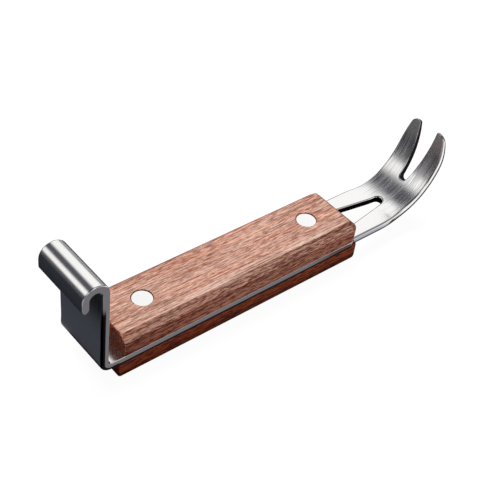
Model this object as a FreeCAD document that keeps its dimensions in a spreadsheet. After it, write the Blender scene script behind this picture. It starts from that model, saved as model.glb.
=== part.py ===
import FreeCAD, Part
import Sketcher
import math
import os
import re

from FreeCAD import Placement, Rotation, Vector

# Trim removal tool: one bent and forked steel strip between two wooden scales, held by two flush
# two-piece rivets. Millimetres. The lower scale rests on z = 0, the scales are centred on the origin,
# +X points to the fork and the hook stands at -X.

SIZES = {
    # steel strip
    "stripWidth": 25.0,
    "stripThick": 3.0,
    "edgeEase": 0.4,
    # wooden scales
    "scaleLength": 106.0,
    "upperThick": 8.5,
    "lowerThick": 6.6,
    "lowerOverhang": 1.9,
    "forkCorner": 3.2,
    "topChamfer": 2.75,
    "chamferEase": 0.5,
    "hookEndEase": 0.8,
    "lowerEase": 1.4,
    "lowerTopEase": 0.5,
    # tail: upright wall and rolled hook
    "tailGap": 6.0,
    "bendRadius": 0.8,
    "hookTop": 47.6,
    "hookRadius": 5.3,
    "lipDrop": 2.7,
    # neck and its V-shaped window
    "neckLength": 20.0,
    "neckInset": 1.1,
    "neckFillet": 1.0,
    "shoulderStart": 13.0,
    "shoulderRadius": 60.0,
    "forkInset": 2.1,
    "windowReach": 24.8,
    "windowTip": 2.0,
    "windowAngle": 9.0,
    "windowHidden": 4.0,
    "windowCorner": 1.5,
    # upward sweep of the fork, measured on its hollow side
    "sweepRadius": 22.0,
    "sweepAngle": 58.0,
    "tineRadius": 36.0,
    "tineAngle": 30.0,
    "tipThick": 1.2,
    "tipTrim": 0.2,
    # forked outline, drawn square to the tines
    "faceTilt": 22.0,
    "slotDepth": 24.2,
    "slotRadius": 1.8,
    "slotFlare": 6.5,
    "tipInner": 0.8,
    "tipFlat": 0.2,
    "tineRoundStart": 13.0,
    "tineRound": 33.0,
    # flush rivets
    "rivetInset": 15.5,
    "frontRivetInset": 16.4,
    "headDiameter": 7.7,
    "headThick": 1.6,
    "headSink": 0.3,
    "headClearance": 0.1,
    "headEase": 0.25,
    "tubeDiameter": 5.0,
    "postDiameter": 3.4,
    "shankClearance": 0.1,
    "postGap": 1.0,
    "tubeGap": 0.4,
    "boreFloor": 0.6,
}

# how far a cut reaches past the piece that it goes through
OVERRUN = 100.0
# how far an outline that is cut away stands clear of the steel
MARGIN = 6.0

v = SIZES
doc = FreeCAD.newDocument("trim_tool")


def makeSheet():
    sheet = doc.addObject("Spreadsheet::Sheet", "Sizes")
    for row, (name, value) in enumerate(SIZES.items(), start=1):
        sheet.set("A%d" % row, name)
        sheet.set("B%d" % row, str(value))
        sheet.setAlias("B%d" % row, name)
    doc.recompute()
    return sheet


def withSheet(expression):
    # writes each size's name in an expression as the sheet's cell
    return re.sub("[A-Za-z]+", lambda word: ("Sizes." if word[0] in SIZES else "") + word[0], expression)


def bind(item, path, expression):
    item.setExpression(path, withSheet(expression))


def makeBody(name):
    body = doc.addObject("PartDesign::Body", name + "_body")
    body.Label = name
    return body


def originPlane(body, role):
    return [plane for plane in body.Origin.OriginFeatures if plane.Role == role][0]


class Drawing:
    # a sketch on one of its body's origin planes, whose sizes follow the sheet

    def __init__(self, body, name, role, lift=None):
        self.sketch = body.newObject("Sketcher::SketchObject", name)
        self.sketch.AttachmentSupport = [(originPlane(body, role), "")]
        self.sketch.MapMode = "FlatFace"
        if lift:
            bind(self.sketch, ".AttachmentOffset.Base.z", lift)

    def line(self, x1, y1, x2, y2):
        return self.sketch.addGeometry(Part.LineSegment(Vector(x1, y1, 0), Vector(x2, y2, 0)), False)

    def arc(self, x, y, radius, first, last):
        # angles in degrees, counter-clockwise from first to last
        circle = Part.Circle(Vector(x, y, 0), Vector(0, 0, 1), radius)
        return self.sketch.addGeometry(
            Part.ArcOfCircle(circle, math.radians(first), math.radians(last)), False)

    def circle(self, x, y, radius):
        return self.sketch.addGeometry(Part.Circle(Vector(x, y, 0), Vector(0, 0, 1), radius), False)

    def tie(self, kind, *where):
        self.sketch.addConstraint(Sketcher.Constraint(kind, *where))

    def measured(self, kind, where):
        if kind == "Radius":
            return self.sketch.Geometry[where[0]].Radius
        if kind == "Distance":
            return self.sketch.Geometry[where[0]].length()
        if kind == "Angle" and len(where) == 1:
            arc = self.sketch.Geometry[where[0]]
            return arc.LastParameter - arc.FirstParameter
        first = self.sketch.getPoint(where[0], where[1])
        second = self.sketch.getPoint(where[2], where[3])
        return second.x - first.x if kind == "DistanceX" else second.y - first.y

    def size(self, kind, expression, *where):
        # a driving size that starts at what is drawn and then follows the sheet
        index = self.sketch.addConstraint(
            Sketcher.Constraint(kind, *where, self.measured(kind, where)))
        bind(self.sketch, "Constraints[%d]" % index, expression)


START, END, CENTRE = 1, 2, 3
ORIGIN = (-1, 1)


def makeBladeProfile(body):
    # side view of the strip on the XZ plane: hook, wall, tang and upward sweep as one closed outline
    d = Drawing(body, "blade_profile", "XZ_Plane")
    thick = v["stripThick"]
    low, top = v["lowerThick"], v["lowerThick"] + thick
    wall = -(v["scaleLength"] / 2 + v["tailGap"])
    hookX, hookZ = wall - v["hookRadius"], v["hookTop"] - v["hookRadius"]
    lipZ = hookZ - v["lipDrop"]
    outer, inner = v["hookRadius"], v["hookRadius"] - thick
    bend = v["bendRadius"]
    sweepX, sweepZ, sweepR = v["scaleLength"] / 2 + v["neckLength"], top + v["sweepRadius"], v["sweepRadius"]
    first, last = v["sweepAngle"], v["sweepAngle"] + v["tineAngle"]
    a, b = math.radians(first), math.radians(last)
    tineX = sweepX + (sweepR - v["tineRadius"]) * math.sin(a)
    tineZ = sweepZ - (sweepR - v["tineRadius"]) * math.cos(a)
    tip = Vector(tineX + v["tineRadius"] * math.sin(b), tineZ - v["tineRadius"] * math.cos(b), 0)
    heel = tip + Vector(math.sin(b), -math.cos(b), 0) * v["tipThick"]
    # the back of the tine leaves the thick sweep along its tangent and closes on the thin tip
    back = Vector(sweepX + (sweepR + thick) * math.sin(a), sweepZ - (sweepR + thick) * math.cos(a), 0)
    chord = heel - back
    normal = Vector(-math.sin(a), math.cos(a), 0)
    backR = chord.dot(chord) / (2 * chord.dot(normal))
    backC = back + normal * backR
    backEnd = math.degrees(math.atan2(heel.y - backC.y, heel.x - backC.x))

    lipOut = d.line(hookX - outer, lipZ, hookX - outer, hookZ)
    rollOut = d.arc(hookX, hookZ, outer, 0, 180)
    wallIn = d.line(wall, hookZ, wall, top + bend)
    bendIn = d.arc(wall + bend, top + bend, bend, 180, 270)
    tangTop = d.line(wall + bend, top, sweepX, top)
    sweepIn = d.arc(sweepX, sweepZ, sweepR, -90, first - 90)
    tineIn = d.arc(tineX, tineZ, v["tineRadius"], first - 90, last - 90)
    tipEnd = d.line(tip.x, tip.y, heel.x, heel.y)
    tineOut = d.arc(backC.x, backC.y, backR, first - 90, backEnd)
    sweepOut = d.arc(sweepX, sweepZ, sweepR + thick, -90, first - 90)
    tangLow = d.line(sweepX, low, wall + bend, low)
    bendOut = d.arc(wall + bend, top + bend, bend + thick, 180, 270)
    wallOut = d.line(wall - thick, top + bend, wall - thick, hookZ)
    rollIn = d.arc(hookX, hookZ, inner, 0, 180)
    lipIn = d.line(hookX - inner, hookZ, hookX - inner, lipZ)
    lipEnd = d.arc(hookX - outer + thick / 2, lipZ, thick / 2, 180, 360)

    d.tie("Tangent", lipOut, END, rollOut, END)
    d.tie("Tangent", rollOut, START, wallIn, START)
    d.tie("Tangent", wallIn, END, bendIn, START)
    d.tie("Tangent", bendIn, END, tangTop, START)
    d.tie("Tangent", tangTop, END, sweepIn, START)
    d.tie("Tangent", sweepIn, END, tineIn, START)
    d.tie("Perpendicular", tineIn, END, tipEnd, START)
    d.tie("Coincident", tipEnd, END, tineOut, END)
    d.tie("Tangent", tineOut, START, sweepOut, END)
    d.tie("Tangent", sweepOut, START, tangLow, START)
    d.tie("Tangent", tangLow, END, bendOut, END)
    d.tie("Tangent", bendOut, START, wallOut, START)
    d.tie("Tangent", wallOut, END, rollIn, START)
    d.tie("Tangent", rollIn, END, lipIn, START)
    d.tie("Tangent", lipIn, END, lipEnd, END)
    d.tie("Tangent", lipEnd, START, lipOut, START)
    for upright in (lipOut, lipIn, wallIn):
        d.tie("Vertical", upright)
    for level in (tangTop, tangLow):
        d.tie("Horizontal", level)
    d.tie("Coincident", rollIn, CENTRE, rollOut, CENTRE)
    d.tie("Coincident", bendOut, CENTRE, bendIn, CENTRE)
    d.tie("Coincident", sweepOut, CENTRE, sweepIn, CENTRE)
    d.size("Radius", "hookRadius", rollOut)
    d.size("Radius", "hookRadius - stripThick", rollIn)
    d.size("Radius", "bendRadius", bendIn)
    d.size("Radius", "sweepRadius", sweepIn)
    d.size("Radius", "tineRadius", tineIn)
    d.size("Distance", "tipThick", tipEnd)
    d.size("Angle", "sweepAngle * 1 deg", sweepIn)
    d.size("Angle", "tineAngle * 1 deg", tineIn)
    d.size("Angle", "sweepAngle * 1 deg", sweepOut)
    d.size("DistanceX", "scaleLength / 2 + tailGap", wallIn, START, *ORIGIN)
    d.size("DistanceY", "lowerThick + stripThick", *ORIGIN, tangTop, START)
    d.size("DistanceY", "lowerThick", *ORIGIN, tangLow, START)
    d.size("DistanceX", "scaleLength / 2 + neckLength", *ORIGIN, tangTop, END)
    d.size("DistanceY", "hookTop - hookRadius", *ORIGIN, rollOut, CENTRE)
    d.size("DistanceY", "lipDrop", lipOut, START, lipOut, END)
    return d.sketch


def makeNeckTrim(body):
    # plan view of what is cut away beside the neck, on the +Y side
    d = Drawing(body, "neck_trim_outline", "XY_Plane")
    half, corner, fillet = v["stripWidth"] / 2, v["forkCorner"], v["neckFillet"]
    cornerX, cornerY = v["scaleLength"] / 2 - corner, half - corner
    neckHalf, forkHalf = half - v["neckInset"], half - v["forkInset"]
    # the small hollow fillet that runs from the rounded tang corner into the neck's edge
    filletY = neckHalf + fillet
    lean = math.asin((filletY - cornerY) / (corner + fillet))
    filletX = cornerX + (corner + fillet) * math.cos(lean)
    leanDeg = math.degrees(lean)
    start = v["scaleLength"] / 2 + v["shoulderStart"]
    fall, bow = neckHalf - forkHalf, v["shoulderRadius"]
    turn = math.acos(1 - fall / (2 * bow))
    turnDeg = math.degrees(turn)
    stop = start + 2 * bow * math.sin(turn)
    away, out = stop + OVERRUN / 2, half + MARGIN

    left = d.line(cornerX, out, cornerX, half)
    cornerArc = d.arc(cornerX, cornerY, corner, leanDeg, 90)
    filletArc = d.arc(filletX, filletY, fillet, 180 + leanDeg, 270)
    neck = d.line(filletX, neckHalf, start, neckHalf)
    bowOut = d.arc(start, neckHalf - bow, bow, 90 - turnDeg, 90)
    bowIn = d.arc(stop, forkHalf + bow, bow, 270 - turnDeg, 270)
    fork = d.line(stop, forkHalf, away, forkHalf)
    right = d.line(away, forkHalf, away, out)
    back = d.line(away, out, cornerX, out)

    d.tie("Coincident", left, END, cornerArc, END)
    d.tie("Tangent", cornerArc, START, filletArc, START)
    d.tie("Tangent", filletArc, END, neck, START)
    d.tie("Tangent", neck, END, bowOut, END)
    d.tie("Tangent", bowOut, START, bowIn, START)
    d.tie("Tangent", bowIn, END, fork, START)
    d.tie("Coincident", fork, END, right, START)
    d.tie("Coincident", right, END, back, START)
    d.tie("Coincident", back, END, left, START)
    for upright in (left, right):
        d.tie("Vertical", upright)
    for level in (neck, fork, back):
        d.tie("Horizontal", level)
    d.tie("Equal", bowOut, bowIn)
    d.size("Radius", "forkCorner", cornerArc)
    d.size("Radius", "neckFillet", filletArc)
    d.size("Radius", "shoulderRadius", bowOut)
    d.size("DistanceX", "scaleLength / 2 - forkCorner", *ORIGIN, cornerArc, END)
    d.size("DistanceX", "scaleLength / 2 - forkCorner", *ORIGIN, cornerArc, CENTRE)
    d.size("DistanceY", "stripWidth / 2 - forkCorner", *ORIGIN, cornerArc, CENTRE)
    d.size("DistanceY", "stripWidth / 2 - neckInset", *ORIGIN, neck, START)
    d.size("DistanceY", "stripWidth / 2 - forkInset", *ORIGIN, fork, START)
    d.size("DistanceX", "scaleLength / 2 + shoulderStart", *ORIGIN, neck, END)
    d.size("Distance", "%g" % (OVERRUN / 2), fork)
    d.size("DistanceY", "stripWidth / 2 + %g" % MARGIN, *ORIGIN, back, START)
    return d.sketch


def makeWindow(body):
    # plan view of the V-shaped window: a rounded point towards the fork, its wide end under the scales
    d = Drawing(body, "window_outline", "XY_Plane")
    tip, slant, corner = v["windowTip"], math.radians(v["windowAngle"]), v["windowCorner"]
    tipX = v["scaleLength"] / 2 + v["windowReach"] - tip
    wideX = v["scaleLength"] / 2 - v["windowHidden"]
    # where the slanted side meets the tip's arc and the wide end's corner arc
    tipSideX, tipSideY = tipX + tip * math.sin(slant), tip * math.cos(slant)
    cornerX = wideX + corner
    rise = math.tan(slant)
    sideAtCorner = tipSideY + (tipSideX - cornerX) * rise
    cornerY = sideAtCorner - corner / math.cos(slant)
    cornerSideX, cornerSideY = cornerX + corner * math.sin(slant), cornerY + corner * math.cos(slant)
    slantDeg = v["windowAngle"]

    tipArc = d.arc(tipX, 0, tip, slantDeg - 90, 90 - slantDeg)
    upper = d.line(tipSideX, tipSideY, cornerSideX, cornerSideY)
    upperCorner = d.arc(cornerX, cornerY, corner, 90 - slantDeg, 180)
    wide = d.line(wideX, cornerY, wideX, -cornerY)
    lowerCorner = d.arc(cornerX, -cornerY, corner, 180, 270 + slantDeg)
    lower = d.line(cornerSideX, -cornerSideY, tipSideX, -tipSideY)

    d.tie("Tangent", tipArc, END, upper, START)
    d.tie("Tangent", upper, END, upperCorner, START)
    d.tie("Tangent", upperCorner, END, wide, START)
    d.tie("Tangent", wide, END, lowerCorner, START)
    d.tie("Tangent", lowerCorner, END, lower, START)
    d.tie("Tangent", lower, END, tipArc, START)
    d.tie("Symmetric", wide, START, wide, END, -1)
    d.tie("PointOnObject", tipArc, CENTRE, -1)
    d.tie("Equal", upperCorner, lowerCorner)
    d.size("Radius", "windowTip", tipArc)
    d.size("Radius", "windowCorner", upperCorner)
    d.size("Angle", "180 deg - 2 * windowAngle * 1 deg", tipArc)
    d.size("DistanceX", "scaleLength / 2 + windowReach - windowTip", *ORIGIN, tipArc, CENTRE)
    d.size("DistanceX", "scaleLength / 2 - windowHidden", *ORIGIN, wide, START)
    return d.sketch


SWEPT = "(sweepAngle + tineAngle) * 1 deg"
TIP_X = ("scaleLength / 2 + neckLength + (sweepRadius - tineRadius) * sin(sweepAngle * 1 deg)"
         " + tineRadius * sin(" + SWEPT + ")")
TIP_Z = ("lowerThick + stripThick + sweepRadius - (sweepRadius - tineRadius) * cos(sweepAngle * 1 deg)"
         " - tineRadius * cos(" + SWEPT + ")")


def makeTineTrim(body):
    # what is cut away round one tine, on a plane square to the tines whose origin is at their tips
    d = Drawing(body, "tine_trim_outline", "YZ_Plane", TIP_X)
    bind(d.sketch, ".AttachmentOffset.Base.y", TIP_Z + " - tipTrim")
    d.sketch.AttachmentOffset = Placement(d.sketch.AttachmentOffset.Base,
                                          Rotation(Vector(1, 0, 0), v["faceTilt"]))
    bind(d.sketch, ".AttachmentOffset.Rotation.Angle", "faceTilt")
    flare = math.radians(v["slotFlare"])
    slotR, slotY = v["slotRadius"], -v["slotDepth"] + v["slotRadius"]
    inR, bigR = v["tipInner"], v["tineRound"]
    # the slot's flank runs tangent from its round bottom to the tine's inner corner
    flankX, flankY = slotR * math.cos(flare), slotY - slotR * math.sin(flare)
    inY = -inR
    reach = (inY - flankY + inR * math.sin(flare)) * math.tan(flare)
    inX = flankX + reach + inR * math.cos(flare)
    # the tine's outer edge bends in along a large arc, and one more arc closes it on the short flat tip
    forkHalf = v["stripWidth"] / 2 - v["forkInset"]
    bigX, bigY = forkHalf - bigR, -v["tineRoundStart"]
    outX = inX + v["tipFlat"]
    outR = (bigR ** 2 - (outX - bigX) ** 2 - bigY ** 2) / (2 * (bigR + bigY))
    outY = -outR
    turn = math.degrees(math.atan2(outY - bigY, outX - bigX))
    side, above = forkHalf + MARGIN, MARGIN

    bottom = d.arc(0, slotY, slotR, -90, -v["slotFlare"])
    flank = d.line(flankX, flankY, inX - inR * math.cos(flare), inY + inR * math.sin(flare))
    inner = d.arc(inX, inY, inR, 90, 180 - v["slotFlare"])
    flat = d.line(inX, 0, outX, 0)
    outer = d.arc(outX, outY, outR, turn, 90)
    edge = d.arc(bigX, bigY, bigR, 0, turn)
    shelf = d.line(forkHalf, bigY, side, bigY)
    far = d.line(side, bigY, side, above)
    roof = d.line(side, above, 0, above)
    middle = d.line(0, above, 0, slotY - slotR)

    d.tie("Tangent", bottom, END, flank, START)
    d.tie("Tangent", flank, END, inner, END)
    d.tie("Tangent", inner, START, flat, START)
    d.tie("Tangent", flat, END, outer, END)
    d.tie("Tangent", outer, START, edge, END)
    d.tie("Perpendicular", edge, START, shelf, START)
    d.tie("Coincident", shelf, END, far, START)
    d.tie("Coincident", far, END, roof, START)
    d.tie("Coincident", roof, END, middle, START)
    d.tie("Coincident", middle, END, bottom, START)
    for level in (flat, shelf, roof):
        d.tie("Horizontal", level)
    for upright in (far, middle):
        d.tie("Vertical", upright)
    d.tie("PointOnObject", bottom, CENTRE, -2)
    d.tie("PointOnObject", middle, END, -2)
    d.tie("PointOnObject", flat, START, -1)
    d.size("Radius", "slotRadius", bottom)
    d.size("Angle", "90 deg - slotFlare * 1 deg", bottom)
    d.size("Radius", "tipInner", inner)
    d.size("Distance", "tipFlat", flat)
    d.size("Radius", "tineRound", edge)
    d.size("DistanceX", "stripWidth / 2 - forkInset", *ORIGIN, edge, START)
    d.size("DistanceY", "tineRoundStart", edge, START, *ORIGIN)
    d.size("DistanceY", "slotDepth", middle, END, *ORIGIN)
    d.size("Distance", "%g" % MARGIN, shelf)
    d.size("DistanceY", "%g" % MARGIN, *ORIGIN, roof, START)
    return d.sketch


def makeRivetCircles(body, name, radius, lift=None):
    # one circle on each rivet's axis, on a plane lifted to the given height
    d = Drawing(body, name, "XY_Plane", lift)
    half = v["scaleLength"] / 2
    first = d.circle(v["rivetInset"] - half, 0, v["tubeDiameter"] / 2)
    second = d.circle(half - v["frontRivetInset"], 0, v["tubeDiameter"] / 2)
    d.tie("PointOnObject", first, CENTRE, -1)
    d.tie("PointOnObject", second, CENTRE, -1)
    d.tie("Equal", first, second)
    d.size("Radius", radius, first)
    d.size("DistanceX", "scaleLength / 2 - rivetInset", first, CENTRE, *ORIGIN)
    d.size("DistanceX", "scaleLength / 2 - frontRivetInset", *ORIGIN, second, CENTRE)
    return d.sketch


def makeScaleOutline(body, length, reach, lift=None):
    # plan view of a scale of the given half length: square at the hook's end, round at the fork's corners
    d = Drawing(body, body.Label + "_outline", "XY_Plane", lift)
    half, corner = v["stripWidth"] / 2, v["forkCorner"]
    front = d.line(length, -half + corner, length, half - corner)
    frontLeft = d.arc(length - corner, half - corner, corner, 0, 90)
    left = d.line(length - corner, half, -length, half)
    back = d.line(-length, half, -length, -half)
    right = d.line(-length, -half, length - corner, -half)
    frontRight = d.arc(length - corner, -half + corner, corner, 270, 360)
    d.tie("Tangent", front, END, frontLeft, START)
    d.tie("Tangent", frontLeft, END, left, START)
    d.tie("Coincident", left, END, back, START)
    d.tie("Coincident", back, END, right, START)
    d.tie("Tangent", right, END, frontRight, START)
    d.tie("Tangent", frontRight, END, front, START)
    d.tie("Symmetric", back, START, back, END, -1)
    for level in (left, right):
        d.tie("Horizontal", level)
    d.tie("Vertical", front)
    d.tie("Equal", frontLeft, frontRight)
    d.size("Radius", "forkCorner", frontLeft)
    d.size("DistanceX", reach, *ORIGIN, front, START)
    d.size("DistanceX", reach, back, START, *ORIGIN)
    d.size("DistanceY", "stripWidth / 2", *ORIGIN, left, START)
    return d.sketch


def raised(body, name, outline, length, downward=False):
    pad = body.newObject("PartDesign::Pad", name)
    pad.Profile = outline
    pad.Reversed = downward
    bind(pad, "Length", length)
    doc.recompute()
    return pad


def cutThrough(body, name, outline):
    pocket = body.newObject("PartDesign::Pocket", name)
    pocket.Profile = outline
    pocket.Midplane = True
    pocket.Length = 2 * OVERRUN
    doc.recompute()
    return pocket


def cutInto(body, name, outline, depth, upward=False):
    pocket = body.newObject("PartDesign::Pocket", name)
    pocket.Profile = outline
    pocket.Reversed = upward
    bind(pocket, "Length", depth)
    doc.recompute()
    return pocket


def edged(body, kind, name, base, wanted, amount):
    # a fillet or a chamfer on every edge of the base that is wanted
    feature = body.newObject("PartDesign::" + kind, name)
    feature.Base = (base, ["Edge%d" % (i + 1) for i, edge in enumerate(base.Shape.Edges) if wanted(edge)])
    bind(feature, "Radius" if kind == "Fillet" else "Size", amount)
    doc.recompute()
    return feature


def isBroad(face):
    # a face that runs straight across the strip belongs to its side view
    u0, u1, v0, v1 = face.ParameterRange
    across = [abs(face.normalAt(u0 + (u1 - u0) * s, v0 + (v1 - v0) * t).y)
              for s in (0.1, 0.5, 0.9) for t in (0.1, 0.5, 0.9)]
    return max(across) < 0.01


def isLevel(edge, height):
    # an edge that lies wholly at one height
    box = edge.BoundBox
    return abs(box.ZMin - height) < 0.01 and abs(box.ZMax - height) < 0.01


def makeBlade():
    body = makeBody("blade")
    strip = body.newObject("PartDesign::Pad", "strip")
    strip.Profile = makeBladeProfile(body)
    strip.Midplane = True
    bind(strip, "Length", "stripWidth")
    doc.recompute()
    neck = cutThrough(body, "neck_trim", makeNeckTrim(body))
    tine = cutThrough(body, "tine_trim", makeTineTrim(body))
    sides = body.newObject("PartDesign::Mirrored", "other_side")
    sides.Originals = [neck, tine]
    sides.MirrorPlane = (originPlane(body, "XZ_Plane"), [""])
    body.Tip = sides
    doc.recompute()
    # every edge between the strip's broad faces and its cut sides is broken
    broadEdges = set()
    sideEdges = set()
    for face in sides.Shape.Faces:
        found = broadEdges if isBroad(face) else sideEdges
        found.update(edge.hashCode() for edge in face.Edges)
    edged(body, "Chamfer", "eased_edges", sides,
          lambda edge: edge.hashCode() in broadEdges & sideEdges, "edgeEase")
    cutThrough(body, "window", makeWindow(body))
    cutThrough(body, "rivet_holes",
               makeRivetCircles(body, "hole_circles", "tubeDiameter / 2 + shankClearance"))
    return body


TOP = "(lowerThick + stripThick + upperThick)"


def makeUpperScale():
    body = makeBody("upper_scale")
    under = v["lowerThick"] + v["stripThick"]
    top = under + v["upperThick"]
    flank = top - v["topChamfer"]
    hookFace = -v["scaleLength"] / 2
    outline = makeScaleOutline(body, -hookFace, "scaleLength / 2", "lowerThick + stripThick")
    block = raised(body, "upper_block", outline, "upperThick")
    chamfered = edged(body, "Chamfer", "top_chamfer", block,
                      lambda edge: isLevel(edge, top) and edge.CenterOfMass.x > hookFace + 1, "topChamfer")
    softened = edged(body, "Fillet", "softened_arrises", chamfered,
                     lambda edge: (isLevel(edge, top) or isLevel(edge, flank))
                     and edge.CenterOfMass.x > hookFace + 1, "chamferEase")
    edged(body, "Fillet", "eased_hook_end", softened,
          lambda edge: edge.BoundBox.XMax < hookFace + 0.01 and not isLevel(edge, under), "hookEndEase")
    cutInto(body, "upper_counterbores",
            makeRivetCircles(body, "upper_head_circles", "headDiameter / 2 + headClearance", TOP),
            "headThick + headSink")
    cutThrough(body, "upper_holes",
               makeRivetCircles(body, "upper_hole_circles", "tubeDiameter / 2 + shankClearance"))
    return body


def makeLowerScale():
    body = makeBody("lower_scale")
    hookFace = -v["scaleLength"] / 2 - v["lowerOverhang"]
    outline = makeScaleOutline(body, -hookFace, "scaleLength / 2 + lowerOverhang")
    block = raised(body, "lower_block", outline, "lowerThick")
    corners = edged(body, "Fillet", "hook_end_corners", block,
                    lambda edge: edge.BoundBox.XMax < hookFace + 0.01 and edge.BoundBox.YLength < 0.01,
                    "hookEndEase")
    rounded = edged(body, "Fillet", "rounded_bottom", corners, lambda edge: isLevel(edge, 0), "lowerEase")
    edged(body, "Fillet", "eased_top", rounded, lambda edge: isLevel(edge, v["lowerThick"]), "lowerTopEase")
    cutInto(body, "lower_counterbores",
            makeRivetCircles(body, "lower_head_circles", "headDiameter / 2 + headClearance"),
            "headThick + headSink", True)
    cutThrough(body, "lower_holes",
               makeRivetCircles(body, "lower_hole_circles", "tubeDiameter / 2 + shankClearance"))
    return body


GRIP = "(" + TOP + " - 2 * (headSink + headThick))"


def roundOutline(body, name, radius, lift):
    d = Drawing(body, body.Label + "_" + name, "XY_Plane", lift)
    ring = d.circle(0, 0, v["headDiameter"] / 2)
    d.tie("Coincident", ring, CENTRE, *ORIGIN)
    d.size("Radius", radius, ring)
    return d.sketch


def makeRivetPost(name, along):
    body = makeBody(name)
    bind(body, ".Placement.Base.x", along)
    under = TOP + " - headSink - headThick"
    head = raised(body, name + "_head", roundOutline(body, "head_circle", "headDiameter / 2", under),
                  "headThick")
    face = v["lowerThick"] + v["stripThick"] + v["upperThick"] - v["headSink"]
    edged(body, "Chamfer", name + "_rim", head, lambda edge: isLevel(edge, face), "headEase")
    raised(body, name + "_shank", roundOutline(body, "shank_circle", "postDiameter / 2", under),
           GRIP + " - boreFloor - postGap", True)
    return body


def makeRivetTube(name, along):
    body = makeBody(name)
    bind(body, ".Placement.Base.x", along)
    head = raised(body, name + "_head", roundOutline(body, "head_circle", "headDiameter / 2", "headSink"),
                  "headThick")
    edged(body, "Chamfer", name + "_rim", head, lambda edge: isLevel(edge, v["headSink"]), "headEase")
    raised(body, name + "_barrel",
           roundOutline(body, "barrel_circle", "tubeDiameter / 2", "headSink + headThick"),
           GRIP + " - tubeGap")
    cutInto(body, name + "_bore",
            roundOutline(body, "bore_circle", "postDiameter / 2", TOP + " - headSink - headThick - tubeGap"),
            GRIP + " - tubeGap - boreFloor")
    return body


sheet = makeSheet()
pieces = [
    makeBlade(),
    makeUpperScale(),
    makeLowerScale(),
    makeRivetPost("rear_rivet_post", "rivetInset - scaleLength / 2"),
    makeRivetTube("rear_rivet_tube", "rivetInset - scaleLength / 2"),
    makeRivetPost("front_rivet_post", "scaleLength / 2 - frontRivetInset"),
    makeRivetTube("front_rivet_tube", "scaleLength / 2 - frontRivetInset"),
]
doc.recompute()
for item in doc.Objects:
    trouble = [word for word in item.State if word in ("Invalid", "Error")]
    if trouble:
        raise RuntimeError(item.Name + " did not build: " + ", ".join(trouble))
os.makedirs("parts", exist_ok=True)
for piece in pieces:
    if piece.Shape.isNull() or not piece.Shape.isValid() or len(piece.Shape.Solids) != 1:
        raise RuntimeError(piece.Label + " has no single valid solid")
    piece.Shape.exportStep("parts/" + piece.Label + ".step")
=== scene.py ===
import math

import bmesh
import bpy
import numpy as np
from mathutils import Matrix, Vector


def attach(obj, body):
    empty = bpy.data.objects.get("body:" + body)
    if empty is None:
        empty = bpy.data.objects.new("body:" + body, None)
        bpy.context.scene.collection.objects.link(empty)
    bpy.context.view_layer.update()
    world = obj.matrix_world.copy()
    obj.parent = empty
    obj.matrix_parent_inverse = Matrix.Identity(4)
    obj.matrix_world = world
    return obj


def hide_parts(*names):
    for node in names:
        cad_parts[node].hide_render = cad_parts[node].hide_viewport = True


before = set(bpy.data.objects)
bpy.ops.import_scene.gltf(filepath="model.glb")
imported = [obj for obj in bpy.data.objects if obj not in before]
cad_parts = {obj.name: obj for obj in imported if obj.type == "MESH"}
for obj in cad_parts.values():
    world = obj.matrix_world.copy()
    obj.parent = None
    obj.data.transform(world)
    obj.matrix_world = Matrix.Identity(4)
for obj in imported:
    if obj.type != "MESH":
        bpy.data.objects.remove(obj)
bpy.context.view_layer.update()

millimetre = 0.001
print("frame loaded:", ", ".join(sorted(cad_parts)))


# camera, fitted to the photographed tool

cameraView = {
    "place": (-196.0, -207.15, 278.73),  # mm
    "along": (0.5203, 0.5384, -0.6628),
    "roll": 7.5,  # degrees, anticlockwise behind the camera
    "lens": 82.1,
    "sensor": 36.0,
}


def placeCamera(view):
    # a level camera looks along a direction and is then turned about it
    forward = Vector(view["along"]).normalized()
    level = forward.cross(Vector((0, 0, 1))).normalized()
    lift = level.cross(forward)
    turn = math.radians(view["roll"])
    right = level * math.cos(turn) + lift * math.sin(turn)
    up = lift * math.cos(turn) - level * math.sin(turn)
    lens = bpy.data.cameras.new("camera")
    lens.lens = view["lens"]
    lens.sensor_width = view["sensor"]
    camera = bpy.data.objects.new("camera", lens)
    turned = Matrix((right, up, -forward)).transposed().to_4x4()
    camera.matrix_world = Matrix.Translation(Vector(view["place"]) * millimetre) @ turned
    bpy.context.collection.objects.link(camera)
    bpy.context.scene.camera = camera


placeCamera(cameraView)
print("camera placed")


# meshes from grids of points

def gridFaces(rows, columns, start):
    # quads between each row of points and the next: corner, its right, upper right and upper neighbour
    corner = start + np.arange(rows - 1)[:, None] * columns + np.arange(columns - 1)[None, :]
    return np.stack([corner, corner + 1, corner + columns + 1, corner + columns], -1)


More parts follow.
